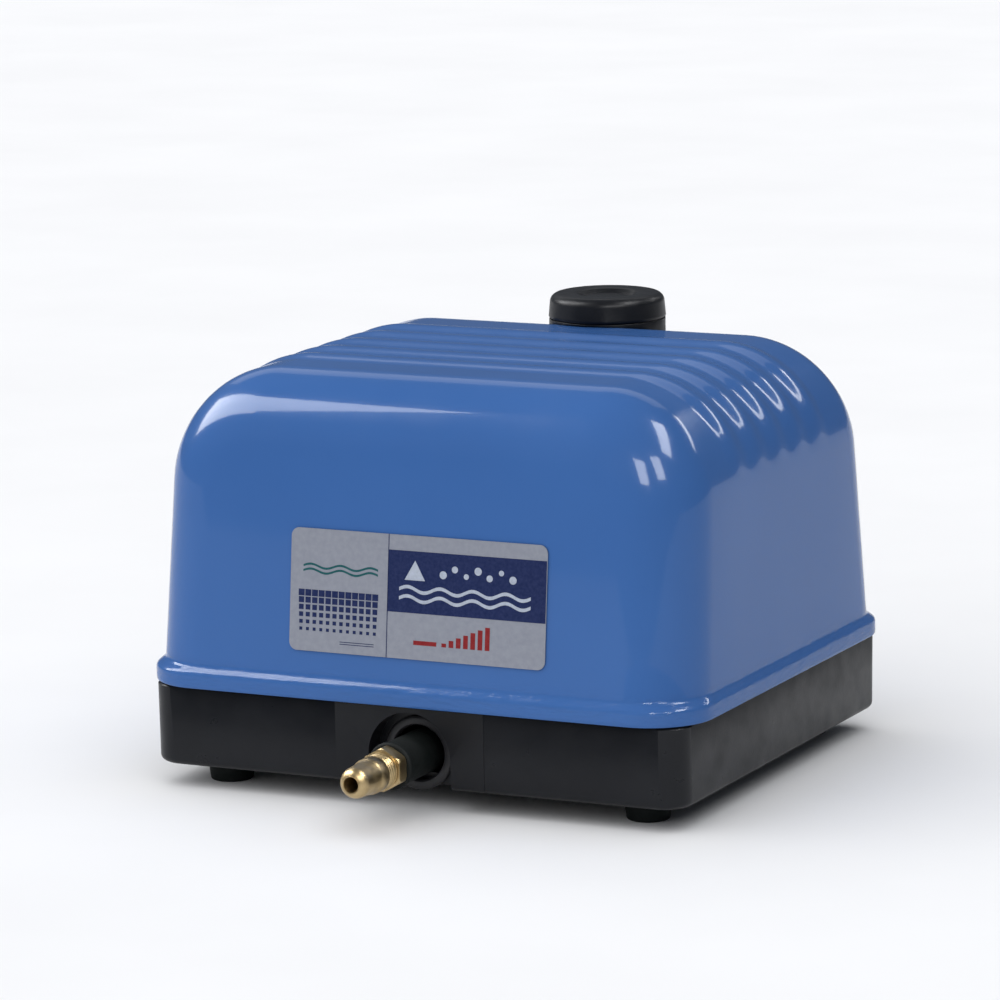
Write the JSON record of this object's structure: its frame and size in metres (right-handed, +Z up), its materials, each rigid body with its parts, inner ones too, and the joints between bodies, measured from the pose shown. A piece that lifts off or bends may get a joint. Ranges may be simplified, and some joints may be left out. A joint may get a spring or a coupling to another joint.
{
  "type": "air pump",
  "caption": "Electromagnetic diaphragm air pump for a pond: blue ribbed steel hood, black tray, filter cap and brass hose tail.",
  "frame": {"origin": "the middle of the whole object's footprint, on the floor under the feet", "axes": "+X to the pump's right as seen from the front, +Y to the rear, +Z up; the hose tail points to -Y"},
  "size_m": [0.216, 0.2392, 0.1602],
  "materials": {
    "blue_enamel": "gloss blue stove enamel",
    "black_plastic": "semi-gloss moulded black",
    "black_rubber": "matt black",
    "label_foil": "silver foil print",
    "foam": "open-cell foam",
    "brass": "turned",
    "zinc_steel": "zinc plated",
    "cast_aluminium": "as cast",
    "core_steel": "stacked laminations",
    "copper_wire": "enamelled winding wire",
    "ferrite": "ground ferrite",
    "white_nylon": "natural nylon",
    "grey_nylon": "glass-filled nylon",
    "flap_rubber": "translucent rubber",
    "lead_pvc": "wire insulation"
  },
  "bodies": {
    "root": {"base_tray": "black_plastic", "foot_front_left": "black_rubber", "foot_front_right": "black_rubber", "foot_rear_left": "black_rubber", "foot_rear_right": "black_rubber", "hood_screw_front_left": "zinc_steel", "hood_screw_front_right": "zinc_steel", "hood_screw_rear_left": "zinc_steel", "hood_screw_rear_right": "zinc_steel", "outlet_hose": "black_rubber", "outlet_ring": "black_plastic", "hose_tail": "brass", "cable_gland": "black_rubber", "air_tank": "cast_aluminium", "air_tank_lid": "cast_aluminium", "tank_mount_front_left": "black_rubber", "tank_mount_front_right": "black_rubber", "tank_mount_rear_left": "black_rubber", "tank_mount_rear_right": "black_rubber", "motor_frame": "cast_aluminium", "terminal_block": "white_nylon", "coil_lead_rear": "lead_pvc", "coil_lead_front": "lead_pvc", "stator_core_rear": "core_steel", "bobbin_rear": "white_nylon", "coil_rear": "copper_wire", "stator_core_front": "core_steel", "bobbin_front": "white_nylon", "coil_front": "copper_wire", "diaphragm_right": "black_rubber", "head_body_right": "cast_aluminium", "valve_plate_right": "cast_aluminium", "head_cover_right": "cast_aluminium", "air_tube_right": "black_rubber", "diaphragm_left": "black_rubber", "head_body_left": "cast_aluminium", "valve_plate_left": "cast_aluminium", "head_cover_left": "cast_aluminium", "air_tube_left": "black_rubber"},
    "hood": {"hood": "blue_enamel", "hood_gasket": "black_rubber", "front_label": "label_foil", "filter_seat": "black_plastic", "filter_sponge": "foam", "hood_bracket_front_left": "zinc_steel", "hood_bracket_front_right": "zinc_steel", "hood_bracket_rear_left": "zinc_steel", "hood_bracket_rear_right": "zinc_steel"},
    "filter_cap": {"filter_cap": "black_plastic"},
    "armature": {"armature": "grey_nylon", "magnet_right": "ferrite", "magnet_left": "ferrite", "diaphragm_clamp_right": "zinc_steel", "diaphragm_clamp_left": "zinc_steel"},
    "intake_flap_right": {"intake_flap_right": "flap_rubber"},
    "outlet_flap_right": {"outlet_flap_right": "flap_rubber"},
    "intake_flap_left": {"intake_flap_left": "flap_rubber"},
    "outlet_flap_left": {"outlet_flap_left": "flap_rubber"}
  },
  "joints": [
    {"name": "hood_lift", "type": "slide", "parent": "root", "child": "hood", "axis": [0, 0, 1], "range_m": [0, 0.15]},
    {"name": "filter_cap_pull", "type": "slide", "parent": "hood", "child": "filter_cap", "axis": [0, 0, 1], "range_m": [0, 0.03]},
    {"name": "armature_stroke", "type": "slide", "parent": "root", "child": "armature", "axis": [1, 0, 0], "range_m": [-0.0025, 0.0025], "stiffness_N_per_m": 3000, "deforming": ["diaphragm_right", "diaphragm_left"]},
    {"name": "intake_flap_right_open", "type": "hinge", "parent": "root", "child": "intake_flap_right", "pos_m": [0.064, 0.02757, 0.086], "axis": [0, 1, 0], "range_deg": [0, 12], "stiffness_Nm_per_rad": 0.0005},
    {"name": "outlet_flap_right_open", "type": "hinge", "parent": "root", "child": "outlet_flap_right", "pos_m": [0.0676, 0.00857, 0.086], "axis": [0, -1, 0], "range_deg": [0, 12], "stiffness_Nm_per_rad": 0.0005},
    {"name": "intake_flap_left_open", "type": "hinge", "parent": "root", "child": "intake_flap_left", "pos_m": [-0.064, 0.00857, 0.086], "axis": [0, -1, 0], "range_deg": [0, 12], "stiffness_Nm_per_rad": 0.0005},
    {"name": "outlet_flap_left_open", "type": "hinge", "parent": "root", "child": "outlet_flap_left", "pos_m": [-0.0676, 0.02757, 0.086], "axis": [0, 1, 0], "range_deg": [0, 12], "stiffness_Nm_per_rad": 0.0005}
  ]
}
